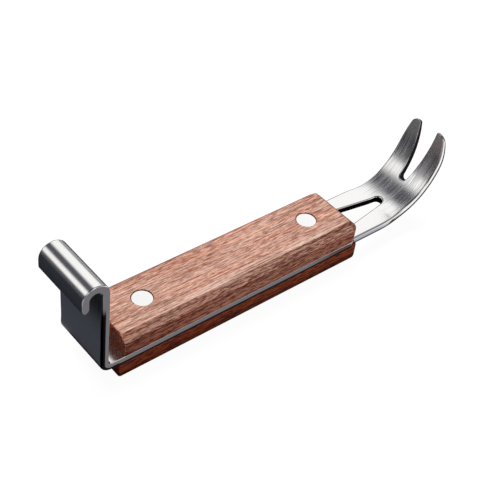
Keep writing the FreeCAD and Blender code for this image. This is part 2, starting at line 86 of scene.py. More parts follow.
def meshFromGrids(name, grids, uvLayers=None, kept=None, weld=2e-6):
    # joins grids of points in mm into one closed mesh with smooth, area-weighted normals. points that
    # are closer than the weld, in metres, become one
    points = np.concatenate([grid.reshape(-1, 3) for grid in grids]) * millimetre
    faces = []
    start = 0
    for index, grid in enumerate(grids):
        quads = gridFaces(grid.shape[0], grid.shape[1], start)
        if kept is not None and kept[index] is not None:
            quads = quads[kept[index]]
        faces.append(quads.reshape(-1, 4))
        start += grid.shape[0] * grid.shape[1]
    faces = np.concatenate(faces)
    mesh = bpy.data.meshes.new(name)
    mesh.from_pydata(points.tolist(), [], faces.tolist())
    corners = np.zeros(len(mesh.loops), np.int32)
    mesh.loops.foreach_get("vertex_index", corners)
    for layerName, uvGrids in (uvLayers or {}).items():
        flat = np.concatenate([grid.reshape(-1, 2) for grid in uvGrids])
        layer = mesh.uv_layers.new(name=layerName)
        layer.uv.foreach_set("vector", flat[corners].astype(np.float32).ravel())
    work = bmesh.new()
    work.from_mesh(mesh)
    bmesh.ops.remove_doubles(work, verts=work.verts, dist=weld)
    bmesh.ops.dissolve_degenerate(work, edges=work.edges, dist=weld)
    bmesh.ops.delete(work, geom=[v for v in work.verts if not v.link_faces], context="VERTS")
    # a vertex with two edges holds two faces back to back
    bmesh.ops.dissolve_verts(work, verts=[v for v in work.verts if len(v.link_edges) == 2])
    bmesh.ops.recalc_face_normals(work, faces=work.faces)
    openEdges = sum(not edge.is_manifold for edge in work.edges)
    work.to_mesh(mesh)
    work.free()
    smoothByArea(mesh)
    piece = bpy.data.objects.new(name, mesh)
    bpy.context.collection.objects.link(piece)
    print(name, "faces", len(mesh.polygons), "open edges", openEdges)
    return piece


def smoothByArea(mesh):
    # each vertex normal is the mean of its faces' normals, weighted by their areas
    mesh.shade_smooth()
    count = len(mesh.polygons)
    normals = np.zeros(count * 3)
    areas = np.zeros(count)
    totals = np.zeros(count, np.int32)
    corners = np.zeros(len(mesh.loops), np.int32)
    mesh.polygons.foreach_get("normal", normals)
    mesh.polygons.foreach_get("area", areas)
    mesh.polygons.foreach_get("loop_total", totals)
    mesh.loops.foreach_get("vertex_index", corners)
    weighted = np.repeat(normals.reshape(-1, 3) * areas[:, None], totals, axis=0)
    summed = np.zeros((len(mesh.vertices), 3))
    np.add.at(summed, corners, weighted)
    summed /= np.linalg.norm(summed, axis=1, keepdims=True) + 1e-20
    mesh.normals_split_custom_set_from_vertices(summed.tolist())


def lerp(first, second, share):
    # first + (second - first) x share
    return first + (second - first) * share


def arc(x, z, radius, first, last, count):
    # points on a circle between two angles in degrees
    angle = np.radians(np.linspace(first, last, count))
    return np.stack([x + radius * np.cos(angle), z + radius * np.sin(angle)], -1)


def lengthAlong(points):
    # the running sum of the distances between neighbours, from 0
    steps = np.linalg.norm(np.diff(points, axis=0), axis=1)
    return np.concatenate([[0], np.cumsum(steps)])


def between(points, count):
    # evenly spaced points along a polyline
    return alongShares(points, np.linspace(0, 1, count))


def alongShares(points, shares):
    # the points of a polyline at shares of its length
    reach = lengthAlong(points)
    spots = shares * reach[-1]
    return np.stack([np.interp(spots, reach, points[:, k]) for k in range(points.shape[1])], -1)


def rounding(radius, count):
    # inset and depth over a rounded edge: r (1 - sin t) and r (1 - cos t), t from 0 to 90 degrees
    turn = np.radians(np.linspace(0, 90, count))
    return radius * (1 - np.sin(turn)), radius * (1 - np.cos(turn))


# the steel strip

blade = {
    "width": 25.0,  # mm, as the other lengths
    "thick": 3.0,
    "slotEdge": 0.45,  # also the outer side's rounding at the tips, where both edges meet
    "windowEdge": 0.6,
    # (height on the tail or length on the tang, the hollow side's edge rounding, the outer side's)
    "tailRounding": [(47.6, 0.5, 0.45), (36.0, 0.5, 0.6), (14.0, 0.5, 1.3)],
    "tangRounding": [(-54.0, 0.4, 0.4), (48.0, 0.4, 0.4), (54.0, 1.1, 0.45), (74.0, 0.8, 0.45)],
    "roundingMost": (0.3, 0.45),  # shares of the thickness that the two roundings may take
    "top": 9.6,  # the tang's upper face
    "wall": -59.0,  # handle side of the upright tail
    "bend": 0.8,
    "hookRadius": 5.29,
    "hookTop": 47.59,
    "lipDrop": 2.7,
    "handleEnd": 53.0,
    "corner": 3.2,
    "fillet": 1.0,
    "neckHalf": 11.4,
    "shoulderStart": 66.0,
    "shoulderRadius": 60.0,
    "forkHalf": 10.4,
    "sweepStart": 73.0,
    "sweepRadius": 22.0,
    "sweepAngle": 58.0,
    "tineRadius": 36.0,
    "tineAngle": 30.0,
    "tipThick": 1.2,
    "tipTrim": 0.2,
    "windowStart": 49.0,
    "windowEnd": 77.8,
    "windowTip": 2.0,
    "windowAngle": 9.0,
    "windowCorner": 1.5,
    "faceTilt": 22.0,
    "slotDepth": 24.2,
    "slotRadius": 1.8,
    "slotFlare": 6.5,
    "tipInner": 0.8,
    "tipFlat": 0.2,
    "tineRoundStart": 13.0,
    "tineRound": 33.0,
    # points along each stretch of the side view, from the lip to the fork
    "steps": {"cap": 24, "lip": 6, "curl": 120, "wall": 40, "bend": 40, "flat": 500, "neck": 160,
              "turn": 60, "fork": 700, "sweep": 1200},
    "slotSpare": 1.0,  # how far below the slot's root the fork's levels start
    "tangSpare": 12.0,  # how far into the sweep lengths along x are still used
    # points along the plan's arcs and runs
    "outerSteps": (24, 16, 30, 30, 30, 60, 40),
    "slotSteps": (30, 60, 14),
    "windowSteps": (12, 12, 60, 30),
    # rows of the mesh, and its columns as shares of the way from the inner edge to the outer
    "capRows": 14,
    "tangRows": 250,
    "windowRows": 110,
    "bridgeRows": 34,
    "slotRows": (22, 50, 24),
    "tipRows": 40,  # these crowd into the last part of the outer edge
    "tipFrom": 0.72,
    "rowGap": 0.02,
    "columns": (0, 0.012, 0.04, 0.1, 0.2, 0.3, 0.4, 0.5, 0.6, 0.7, 0.8, 0.9, 0.96, 0.988, 1.0),
    "rimColumns": 7,
    "wallColumns": (0.04, 0.35, 0.65, 0.96),
}


def sweepCurves(b):
    # the fork from the side. hollow side: two tangent arcs. outer side: an arc about the first centre,
    # then the arc that leaves it tangentially and ends at the tip's thickness, R = chord^2 / (2 chord.normal)
    thick, count = b["thick"], b["steps"]["sweep"]
    x0, z0, r0 = b["sweepStart"], b["top"] + b["sweepRadius"], b["sweepRadius"]
    a, full = math.radians(b["sweepAngle"]), math.radians(b["sweepAngle"] + b["tineAngle"])
    bendEnd, tineEnd = b["sweepAngle"] - 90, b["sweepAngle"] + b["tineAngle"] - 90
    tineX = x0 + (r0 - b["tineRadius"]) * math.sin(a)
    tineZ = z0 - (r0 - b["tineRadius"]) * math.cos(a)
    hollow = np.concatenate([
        arc(x0, z0, r0, -90, bendEnd, count),
        arc(tineX, tineZ, b["tineRadius"], bendEnd, tineEnd, count)[1:],
    ])
    heel = hollow[-1] + np.array([math.sin(full), -math.cos(full)]) * b["tipThick"]
    start = np.array([x0 + (r0 + thick) * math.sin(a), z0 - (r0 + thick) * math.cos(a)])
    normal = np.array([-math.sin(a), math.cos(a)])
    chord = heel - start
    backRadius = chord @ chord / (2 * chord @ normal)
    back = start + normal * backRadius
    backEnd = math.degrees(math.atan2(heel[1] - back[1], heel[0] - back[0]))
    outside = np.concatenate([
        arc(x0, z0, r0 + thick, -90, bendEnd, count),
        arc(back[0], back[1], backRadius, bendEnd, backEnd, count)[1:],
    ])
    return hollow, outside


def bladeStations(b):
    # the strip from the side: pairs of points on its hollow and outer side from the hook's lip to the
    # tips, as arcs and runs laid end to end. a station is the length along the mean of both sides
    thick, top, wall, steps = b["thick"], b["top"], b["wall"], b["steps"]
    outer, inner = b["hookRadius"], b["hookRadius"] - thick
    hookX, hookZ = wall - outer, b["hookTop"] - outer
    lipX, lipZ = hookX - outer + thick / 2, hookZ - b["lipDrop"]
    bendX, bendZ = wall + b["bend"], top + b["bend"]
    hollow, outside = sweepCurves(b)
    # the tines' cuts are square to a tilted plane, the neck's cuts are upright
    tilt = math.radians(b["faceTilt"])
    alongFace = np.array([math.sin(tilt), math.cos(tilt)])
    tipLevel = hollow[-1] @ alongFace - b["tipTrim"] * math.cos(tilt)
    level = np.linspace(-b["slotDepth"] - b["slotSpare"], 0, steps["fork"])
    sides = []
    for radius, lipTurn, inset, curve in ((outer, 180, 0, hollow), (inner, 360, thick, outside)):
        reach = lengthAlong(curve)
        neckX = np.linspace(b["sweepStart"], shoulderStop(b), steps["neck"])
        upright = np.interp(neckX, curve[:, 0], reach)
        atLevel = np.interp(level, curve @ alongFace - tipLevel, reach)
        turning = np.linspace(upright[-1], atLevel[0], steps["turn"])
        spots = np.concatenate([upright, turning[1:], atLevel[1:]])
        sides.append(np.concatenate([
            arc(lipX, lipZ, thick / 2, 270, lipTurn, steps["cap"]),
            np.linspace((hookX - radius, lipZ), (hookX - radius, hookZ), steps["lip"]),
            arc(hookX, hookZ, radius, 180, 0, steps["curl"]),
            np.linspace((wall - inset, hookZ), (wall - inset, bendZ), steps["wall"]),
            arc(bendX, bendZ, b["bend"] + inset, 180, 270, steps["bend"]),
            np.linspace((bendX, top - inset), (b["sweepStart"], top - inset), steps["flat"]),
            np.stack([np.interp(spots, reach, curve[:, k]) for k in (0, 1)], -1),
        ]))
    upper, lower = sides
    middle = lengthAlong((upper + lower) / 2)
    fresh = np.concatenate([[True], np.diff(middle) > 1e-9])
    upper, lower, middle = upper[fresh], lower[fresh], middle[fresh]
    return middle, upper, lower, upper @ alongFace - tipLevel


def shoulderTurn(b):
    # the angle of the two equal arcs that lead in from the neck to the fork: acos(1 - fall / 2R)
    return math.acos(1 - (b["neckHalf"] - b["forkHalf"]) / (2 * b["shoulderRadius"]))


def shoulderStop(b):
    # where the second arc ends: start + 2R sin(turn)
    return b["shoulderStart"] + 2 * b["shoulderRadius"] * math.sin(shoulderTurn(b))


def tipCorner(b, inside):
    # the arc that closes a tine's outer edge on its short flat tip. its centre is r below the tip, and it
    # touches the big arc from inside: r = (R^2 - dx^2 - dy^2) / (2 (R - dy))
    bigX, bigY, bigR = b["forkHalf"] - b["tineRound"], -b["tineRoundStart"], b["tineRound"]
    centre = inside + b["tipFlat"]
    radius = (bigR ** 2 - (centre - bigX) ** 2 - bigY ** 2) / (2 * (bigR + bigY))
    return radius, centre


def outerEdge(b, toStation, levelToStation, inside):
    # the outer edge in (station, half width), from the lip to the middle of a tine's tip: the handle's
    # corner, a fillet, the neck, two shoulder arcs, the tine's long arc and the arc at its tip
    half, corner, fillet = b["width"] / 2, b["corner"], b["fillet"]
    bow, turn = b["shoulderRadius"], math.degrees(shoulderTurn(b))
    steps = b["outerSteps"]
    cornerX, cornerY = b["handleEnd"] - corner, half - corner
    lean = math.asin((b["neckHalf"] + fillet - cornerY) / (corner + fillet))
    filletX = cornerX + (corner + fillet) * math.cos(lean)
    leanDeg = math.degrees(lean)
    plan = np.concatenate([
        arc(cornerX, cornerY, corner, 90, leanDeg, steps[0]),
        arc(filletX, b["neckHalf"] + fillet, fillet, 180 + leanDeg, 270, steps[1])[1:],
        np.linspace((filletX, b["neckHalf"]), (b["shoulderStart"], b["neckHalf"]), steps[2])[1:],
        arc(b["shoulderStart"], b["neckHalf"] - bow, bow, 90, 90 - turn, steps[3])[1:],
        arc(shoulderStop(b), b["forkHalf"] + bow, bow, 270 - turn, 270, steps[4])[1:],
    ])
    plan[:, 0] = toStation(plan[:, 0])
    bigX, bigY, bigR = b["forkHalf"] - b["tineRound"], -b["tineRoundStart"], b["tineRound"]
    outR, outX = tipCorner(b, inside)
    meet = math.degrees(math.atan2(-outR - bigY, outX - bigX))
    face = np.concatenate([
        arc(bigX, bigY, bigR, 0, meet, steps[5]),
        arc(outX, -outR, outR, meet, 90, steps[6])[1:],
        np.array([(inside + b["tipFlat"] / 2, 0.0)]),
    ])
    face = np.stack([levelToStation(face[:, 1]), face[:, 0]], -1)
    return np.concatenate([np.array([(0.0, half)]), plan, face])


def slotEdge(b, levelToStation):
    # a tine's inner edge in (station, half width), as three stretches: the slot's round root, its flank
    # that leans out by the flare, and the small arc at the tip with the middle of the tip's flat
    flare = math.radians(b["slotFlare"])
    slotR, slotY = b["slotRadius"], -b["slotDepth"] + b["slotRadius"]
    flankX, flankY = slotR * math.cos(flare), slotY - slotR * math.sin(flare)
    inR = b["tipInner"]
    reach = (-inR - flankY + inR * math.sin(flare)) * math.tan(flare)
    inX = flankX + reach + inR * math.cos(flare)
    flankEnd = (inX - inR * math.cos(flare), -inR + inR * math.sin(flare))
    root, flank, tip = b["slotSteps"]
    face = [
        arc(0, slotY, slotR, -90, -b["slotFlare"], root),
        np.linspace((flankX, flankY), flankEnd, flank),
        np.concatenate([arc(inX, -inR, inR, 180 - b["slotFlare"], 90, tip),
                        [(inX + b["tipFlat"] / 2, 0.0)]]),
    ]
    return [np.stack([levelToStation(part[:, 1]), part[:, 0]], -1) for part in face], inX


def windowEdge(b, toStation):
    # the window's edge in (station, half width), from its wide end to its rounded point: half the wide
    # end, a corner, the slanted side and a quarter turn round the point
    tip, slant, corner = b["windowTip"], math.radians(b["windowAngle"]), b["windowCorner"]
    tipX = b["windowEnd"] - tip
    tipSideX, tipSideY = tipX + tip * math.sin(slant), tip * math.cos(slant)
    cornerX = b["windowStart"] + corner
    side = tipSideY + (tipSideX - cornerX) * math.tan(slant)
    cornerY = side - corner / math.cos(slant)
    sideStart = (cornerX + corner * math.sin(slant), cornerY + corner * math.cos(slant))
    wide, turn, run, point = b["windowSteps"]
    plan = np.concatenate([
        np.linspace((b["windowStart"], 0), (b["windowStart"], cornerY), wide),
        arc(cornerX, cornerY, corner, 180, 90 - b["windowAngle"], turn)[1:],
        np.linspace(sideStart, (tipSideX, tipSideY), run)[1:],
        arc(tipX, 0, tip, 90 - b["windowAngle"], 0, point)[1:],
    ])
    return np.stack([toStation(plan[:, 0]), plan[:, 1]], -1)


def inward(edge):
    # an edge's unit directions in (station, half width), turned a quarter to the left
    step = np.gradient(edge, axis=0)
    step /= np.linalg.norm(step, axis=1, keepdims=True) + 1e-12
    return np.stack([-step[:, 1], step[:, 0]], -1)


def middleLine(first, last, count):
    # even points on the middle line between two stations
    return np.stack([np.linspace(first, last, count), np.zeros(count)], -1)


def stripRows(b, station, toStation, levelToStation):
    # each row of the strip's plan runs from an inner edge, the middle line or a cut-out's edge, to the
    # outer edge, which is divided into as many steps. gives both edges, their outward normals seen from
    # the steel's inside, and the rounding of the cut-out's edge
    slot, tipInside = slotEdge(b, levelToStation)
    outside = outerEdge(b, toStation, levelToStation, tipInside)
    window = windowEdge(b, toStation)
    slotEase, windowEase, gap = b["slotEdge"], b["windowEdge"], b["rowGap"]
    capEnd = station[b["steps"]["cap"] - 1]
    windowStart, windowStop = window[0, 0] - windowEase, window[-1, 0] + windowEase
    slotStart, tipStation = slot[0][0, 0] - slotEase, slot[-1][-1, 0]
    windowRows = between(window, b["windowRows"])
    parts = [between(part, count) for part, count in zip(slot, b["slotRows"])]
    slotRows = np.concatenate([parts[0], parts[1][1:], parts[2][1:]])
    spans = [
        # (inner edge, the outer edge's first and last station, the cut-out's rounding, its last normal)
        (middleLine(0, capEnd, b["capRows"]), 0, capEnd, 0, None),
        (middleLine(capEnd, windowStart, b["tangRows"]), capEnd, windowStart, 0, None),
        (windowRows, windowStart + gap, windowStop, windowEase, (1, 0)),
        (middleLine(windowStop, slotStart, b["bridgeRows"]), windowStop, slotStart, 0, None),
        (slotRows, slotStart + gap, tipStation, slotEase, (-1, 0)),
    ]
    outer, normals = [], []
    for edge, first, last, ease, lastNormal in spans:
        ends = [[(s, np.interp(s, outside[:, 0], outside[:, 1]))] for s in (first, last)]
        shares = np.linspace(0, 1, len(edge))
        if last == tipStation:
            path = np.concatenate([ends[0], outside[outside[:, 0] > first]])
            shares = np.concatenate([np.linspace(0, b["tipFrom"], len(edge) - b["tipRows"]),
                                     np.linspace(b["tipFrom"], 1, b["tipRows"] + 1)[1:]])
        else:
            within = (outside[:, 0] > first) & (outside[:, 0] < last)
            path = np.concatenate([ends[0], outside[within], ends[1]])
        outer.append(alongShares(path, shares))
        # a cut-out's edge starts and ends square to the middle line
        normal = inward(edge) if ease else np.tile((0.0, 1.0), (len(edge), 1))
        if ease:
            normal[0], normal[-1] = (-1, 0), lastNormal
        normals.append(normal)
    inner = np.concatenate([span[0] for span in spans])
    cut = np.concatenate([np.full(len(span[0]), float(span[3])) for span in spans])
    outer, innerNormal = np.concatenate(outer), np.concatenate(normals)
    outerNormal = -inward(outer)
    outerNormal[-1] = (-1, 0)
    return inner, outer, innerNormal, outerNormal, cut


def rim(b, edge, normal, thick, small, large):
    # columns over a cut side, from the hollow side's rounding over the wall to the outer side's rounding:
    # edge + normal x inset, at the depth as a share of the thickness
    thick = np.maximum(thick, 1e-6)[:, None]
    hollowMost, outerMost = (share * thick for share in b["roundingMost"])
    hollowInset, above = rounding(np.minimum(small[:, None], hollowMost), b["rimColumns"])
    outerInset, below = rounding(np.minimum(large[:, None], outerMost), b["rimColumns"])
    above, below = above / thick, below / thick
    middle = lerp(above[:, -1:], 1 - below[:, -1:], np.array(b["wallColumns"]))
    inset = np.concatenate([hollowInset, np.zeros_like(middle), outerInset[:, ::-1]], 1)
    share = np.concatenate([above, middle, 1 - below[:, ::-1]], 1)
    spot = edge[:, 0, None] + normal[:, 0, None] * inset
    half = edge[:, 1, None] + normal[:, 1, None] * inset
    return spot, half, share


def makeBlade(b):
    # a point = hollow + (outer - hollow) x share at its station, at its half width. each half of the
    # strip is four grids: its hollow side, outer edge, outer side and the cut-outs' walls
    station, upper, lower, faceLevel = bladeStations(b)
    tang = upper[:, 0] > b["wall"] + b["bend"] - 1e-6
    tang &= upper[:, 0] < b["sweepStart"] + b["tangSpare"]
    tine = (faceLevel > -b["slotDepth"] - b["slotSpare"]) & (upper[:, 0] > b["sweepStart"])

    def toStation(x):
        # the station at x on the tang
        return np.interp(x, upper[tang, 0], station[tang])

    def levelToStation(level):
        # the station at a level of the tilted plane, 0 at the tips
        return np.interp(level, faceLevel[tine], station[tine])

    def surface(spot, half, share):
        # a point at a station and half width, a share of the way from the hollow to the outer side
        x, z = (lerp(np.interp(spot, station, upper[:, k]), np.interp(spot, station, lower[:, k]), share)
                for k in (0, 1))
        return np.stack([x, half, z], -1)

    def thickness(spot):
        # the distance between both sides at a station
        return np.hypot(*[np.interp(spot, station, upper[:, k] - lower[:, k]) for k in (0, 1)])

    inner, outer, innerNormal, outerNormal, cut = stripRows(b, station, toStation, levelToStation)
    # the edges' roundings are interpolated between marks on the tail and the tang
    wall = np.flatnonzero(upper[:, 0] == b["wall"])
    marks = [np.interp(-height, -upper[wall, 1], station[wall]) for height, _, _ in b["tailRounding"]]
    marks += [toStation(x) for x, _, _ in b["tangRounding"]]
    roundings = np.array(b["tailRounding"] + b["tangRounding"])
    small, large = (np.interp(outer[:, 0], marks, roundings[:, k]) for k in (1, 2))
    outSpot, outHalf, outShare = rim(b, outer, outerNormal, thickness(outer[:, 0]), small, large)
    inSpot, inHalf, inShare = rim(b, inner, innerNormal, thickness(inner[:, 0]), cut, cut)
    columns = np.array(b["columns"])
    pairs = (inSpot, outSpot), (inHalf, outHalf)
    topSpot, topHalf = (lerp(near[:, :1], far[:, :1], columns) for near, far in pairs)
    lowSpot, lowHalf = (lerp(near[:, -1:], far[:, -1:], columns) for near, far in pairs)
    zero, one = np.zeros_like(topSpot), np.ones_like(topSpot)
    alongCut = (cut[:-1] > 0) & (cut[1:] > 0)
    grids, strips, depths, kept = [], [], [], []
    for side in (1, -1):
        for spot, half, share, mask in (
            (topSpot, topHalf, zero, None), (outSpot, outHalf, outShare, None),
            (lowSpot, lowHalf, one, None), (inSpot, inHalf, inShare, alongCut),
        ):
            grids.append(surface(spot, half * side, share))
            strips.append(np.stack([spot, half * side + share * b["thick"]], -1) * millimetre)
            depths.append(np.stack([share, 0 * share], -1))
            kept.append(mask)
    return meshFromGrids("steelStrip", grids, {"strip": strips, "depth": depths}, kept)


steelStrip = makeBlade(blade)
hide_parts("blade")
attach(steelStrip, "root")


# the two wooden scales

scale = {
    "width": 25.0,  # mm, as the other lengths
    "corner": 3.2,  # at the fork's end
    "hookCorner": 0.8,  # at the hook's end
    "leastCorner": 0.05,  # what an inset leaves of the corner
    "rivetsAt": (-37.5, 36.6),
    "headHole": 3.95,
    "shankHole": 2.6,
    "headDepth": 1.9,
    "rivetPatch": 8.0,  # from a rivet's axis to each end of the patch round it
    "holeEase": 0.12,
    "ringGap": 0.05,  # from an edge of the hole to the ring that keeps it sharp
    "mouthRing": 0.3,
    # points along an end, round a corner, and steps along each stretch of a side
    "endCount": 16,
    "arcCount": 9,
    "longCounts": (6, 14, 40, 14, 6),
    "easeCount": 4,
    "patchShares": (0, 0.2, 0.4, 0.6, 0.75, 0.88, 0.97, 1),  # from a patch's border to its hole
}
upperScale = {
    "name": "upperScale",
    "node": "upper_scale",
    "reach": 53.0,
    "low": 9.6,
    "high": 18.1,
    "chamfer": 2.75,
    "soft": 0.5,
    "hookEase": 0.8,
    "headUp": True,
    "sideRings": (0, 0.1, 1, 3),  # above the lower edge, with one more below the chamfer
    "ringBelowArris": 0.3,
    "arrisCount": 5,
    "slopeCount": 8,
}
lowerScale = {
    "name": "lowerScale",
    "node": "lower_scale",
    "reach": 54.9,
    "low": 0.0,
    "high": 6.6,
    "round": 1.4,
    "topEase": 0.5,
    "headUp": False,
    "roundCount": 9,
    "sideCount": 6,
}


def upperProfile(u):
    # (height, inset of the sides, inset of the hook's end) from the bottom edge to the top edge. the two
    # arrises of the chamfer are arcs that touch both neighbours, so each starts r tan(22.5) before its
    # corner, and the hook's end is rounded by r - sqrt(r^2 - rise^2)
    top, cut, soft, ease = u["high"], u["chamfer"], u["soft"], u["hookEase"]
    reach = soft * math.tan(math.radians(45 / 2))
    arris = top - cut - reach
    bend = np.radians(np.linspace(0, 45, u["arrisCount"]))
    away = soft * (1 - np.cos(bend))
    lowArc = np.stack([arris + soft * np.sin(bend), away], -1)
    highArc = np.stack([top - away[::-1], cut + reach - (soft * np.sin(bend))[::-1]], -1)
    heights = np.append(u["low"] + np.array(u["sideRings"]), arris - u["ringBelowArris"])
    side = np.stack([heights, np.zeros(len(heights))], -1)
    slope = np.linspace(lowArc[-1], highArc[0], u["slopeCount"])[1:-1]
    height, inset = np.concatenate([side, lowArc, slope, highArc]).T
    rise = np.clip(height - (top - ease), 0, ease)
    return np.stack([height, inset, ease - np.sqrt(ease ** 2 - rise ** 2)], -1)


def lowerProfile(u):
    # (height, inset of the sides, inset of the hook's end) from the bottom edge to the top edge: a
    # rounding below, an upright side and a smaller rounding on top
    low, high, big, small = u["low"], u["high"], u["round"], u["topEase"]
    lowInset, rise = rounding(big, u["roundCount"])
    drop, highInset = rounding(small, u["roundCount"])
    side = np.linspace(low + big, high - small, u["sideCount"])[1:-1]
    height = np.concatenate([low + rise, side, high - drop])
    inset = np.concatenate([lowInset, 0 * side, highInset])
    return np.stack([height, inset, inset], -1)


def scaleLevel(reach, height, inset, hookInset):
    # the four stretches of a scale's outline at one height: hook end, far side, fork end, near side. it is
    # a rectangle that ends at +reach and -reach before the insets, with an arc at each corner
    half = scale["width"] / 2 - inset
    back, front = hookInset - reach, reach - inset
    backR = scale["hookCorner"]
    frontR = max(scale["corner"] - inset, scale["leastCorner"])
    endCount, arcCount = scale["endCount"], scale["arcCount"]
    hook = np.concatenate([
        arc(back + backR, -half + backR, backR, 270, 180, arcCount),
        np.linspace((back, -half + backR), (back, half - backR), endCount)[1:-1],
        arc(back + backR, half - backR, backR, 180, 90, arcCount),
    ])
    fork = np.concatenate([
        arc(front - frontR, half - frontR, frontR, 90, 0, arcCount),
        np.linspace((front, half - frontR), (front, -half + frontR), endCount)[1:-1],
        arc(front - frontR, -half + frontR, frontR, 0, -90, arcCount),
    ])
    (rear, fore), patch = scale["rivetsAt"], scale["rivetPatch"]
    marks = [back + backR, rear - patch, rear + patch, fore - patch, fore + patch, front - frontR]
    along = [np.linspace(a, b, n + 1) for a, b, n in zip(marks, marks[1:], scale["longCounts"])]
    xs = np.concatenate([along[0]] + [part[1:] for part in along[1:]])
    far = np.stack([xs, np.full(len(xs), half)], -1)
    near = far[::-1] * (1, -1)
    level = [np.concatenate([part, np.full((len(part), 1), height)], 1) for part in (hook, far, fork, near)]
    return level, along


def scaleFace(level, along, radius):
    # a flat face with two round holes. straight patches are first + (second - first) x share between two
    # columns of points. round a rivet they turn from the patch's border to the circle: each border point
    # moves towards centre + radius (cos a, sin a) at its own angle a
    hook, far, fork, _ = level
    height, half, count = hook[0, 2], far[0, 1], len(hook)

    def column(x):
        # evenly spaced points across the scale at one x
        return np.stack([np.full(count, x), np.linspace(-half, half, count), np.full(count, height)], -1)

    rearShare, foreShare = (np.linspace(0, 1, len(along[k]))[:, None, None] for k in (0, 4))
    grids = [
        lerp(hook[None], column(along[0][-1])[None], rearShare),
        lerp(column(along[4][0])[None], fork[::-1][None], foreShare),
        np.stack([column(x) for x in along[2]]),
    ]
    share = np.array(scale["patchShares"])[:, None, None]
    loops = []
    for part, centre in zip((along[1], along[3]), scale["rivetsAt"]):
        top = np.stack([part, np.full(len(part), half), np.full(len(part), height)], -1)
        bottom = top * (1, -1, 1)
        loop = np.concatenate([column(part[0]), top[1:], column(part[-1])[::-1][1:], bottom[::-1][1:]])
        angle = np.arctan2(loop[:, 1], loop[:, 0] - centre)
        circle = np.stack([centre + radius * np.cos(angle), radius * np.sin(angle), loop[:, 2]], -1)
        grids.append(lerp(loop[None], circle[None], share))
        loops.append((centre, angle))
    return grids, loops


def makeScale(u, profile):
    # the outline at each level of the profile, two faces with holes, and in each hole the counterbored
    # bore: a profile of (radius, depth from the head's side) carried round the rivet's axis
    levels = [scaleLevel(u["reach"], *row) for row in profile]
    grids = [np.stack([level[k] for level, _ in levels]) for k in range(4)]
    wide, thin, deep = scale["headHole"], scale["shankHole"], scale["headDepth"]
    ease, gap = scale["holeEase"], scale["ringGap"]
    highRadius, lowRadius = (wide + ease, thin) if u["headUp"] else (thin, wide + ease)
    highGrids, highLoops = scaleFace(*levels[-1], highRadius)
    lowGrids, lowLoops = scaleFace(*levels[0], lowRadius)
    grids += highGrids + lowGrids
    inset, depth = rounding(ease, scale["easeCount"])
    bore = np.concatenate([np.stack([wide + inset, depth], -1), [
        (wide, scale["mouthRing"]), (wide, deep - gap), (wide, deep), (wide - gap, deep),
        (thin + gap, deep), (thin, deep), (thin, deep + gap), (thin, u["high"] - u["low"]),
    ]])
    for (centre, highAngle), (_, lowAngle) in zip(highLoops, lowLoops):
        around, other = (highAngle, lowAngle) if u["headUp"] else (lowAngle, highAngle)
        x = centre + bore[:, :1] * np.cos(around)
        y = bore[:, :1] * np.sin(around)
        z = (u["high"] - bore[:, 1:] if u["headUp"] else u["low"] + bore[:, 1:]) + 0 * x
        # the last ring takes the other face's points
        x[-1], y[-1] = centre + thin * np.cos(other), thin * np.sin(other)
        grids.append(np.stack([x, y, z], -1))
    piece = meshFromGrids(u["name"], grids)
    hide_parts(u["node"])
    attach(piece, "root")
    return piece


upperWood = makeScale(upperScale, upperProfile(upperScale))
lowerWood = makeScale(lowerScale, lowerProfile(lowerScale))


# the flush rivets, each a post half on top and a tube half below

rivet = {
    "head": 3.85,  # mm, as the other lengths
    "headThick": 1.6,
    "sunk": 0.3,
    "ease": 0.25,
    "barrel": 2.5,
    "post": 1.7,
    "tubeGap": 0.4,
    "boreFloor": 0.6,
    "postGap": 1.0,
    "top": 18.1,
    "rings": (0, 0.8, 1.6, 2.4, 3.1),  # radii of a head's flat face
    "easeCount": 6,
    "roundCount": 73,
}


def headProfile(r, face, inwards):
    # a head's flat face and rounded rim as (radius, height). inwards is -1 where the depth runs down
    inset, depth = rounding(r["ease"], r["easeCount"])
    radius = np.concatenate([r["rings"], r["head"] - inset])
    depth = np.concatenate([np.zeros(len(r["rings"])), depth])
    return np.stack([radius, face + inwards * depth], -1)


def makeRivetHalf(name, node, along, profile):
    # a closed profile of (radius, height) turned round the rivet's axis: (radius cos a, radius sin a)
    angle = np.linspace(0, 2 * np.pi, rivet["roundCount"])
    x = along + profile[:, :1] * np.cos(angle)
    y = profile[:, :1] * np.sin(angle)
    piece = meshFromGrids(name, [np.stack([x, y, profile[:, 1:] + 0 * x], -1)])
    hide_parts(node)
    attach(piece, "root")
    return piece


def makeRivets(r):
    # the halves' profiles, from the middle of the outer face round the head to the axis inside
    face, low = r["top"] - r["sunk"], r["sunk"] + r["headThick"]
    seat = face - r["headThick"]
    mouth, floor = seat - r["tubeGap"], low + r["boreFloor"]
    post = np.concatenate([headProfile(r, face, -1), [
        (r["head"], seat), (r["post"], seat), (r["post"], floor + r["postGap"]), (0, floor + r["postGap"]),
    ]])
    tube = np.concatenate([headProfile(r, r["sunk"], 1), [
        (r["head"], low), (r["barrel"], low), (r["barrel"], mouth),
        (r["post"], mouth), (r["post"], floor), (0, floor),
    ]])
    made = []
    for place, along in zip(("rear", "front"), scale["rivetsAt"]):
        made.append(makeRivetHalf(place + "RivetPost", place + "_rivet_post", along, post))
        made.append(makeRivetHalf(place + "RivetTube", place + "_rivet_tube", along, tube))
    return made


rivets = makeRivets(rivet)
print("pieces made")


# materials

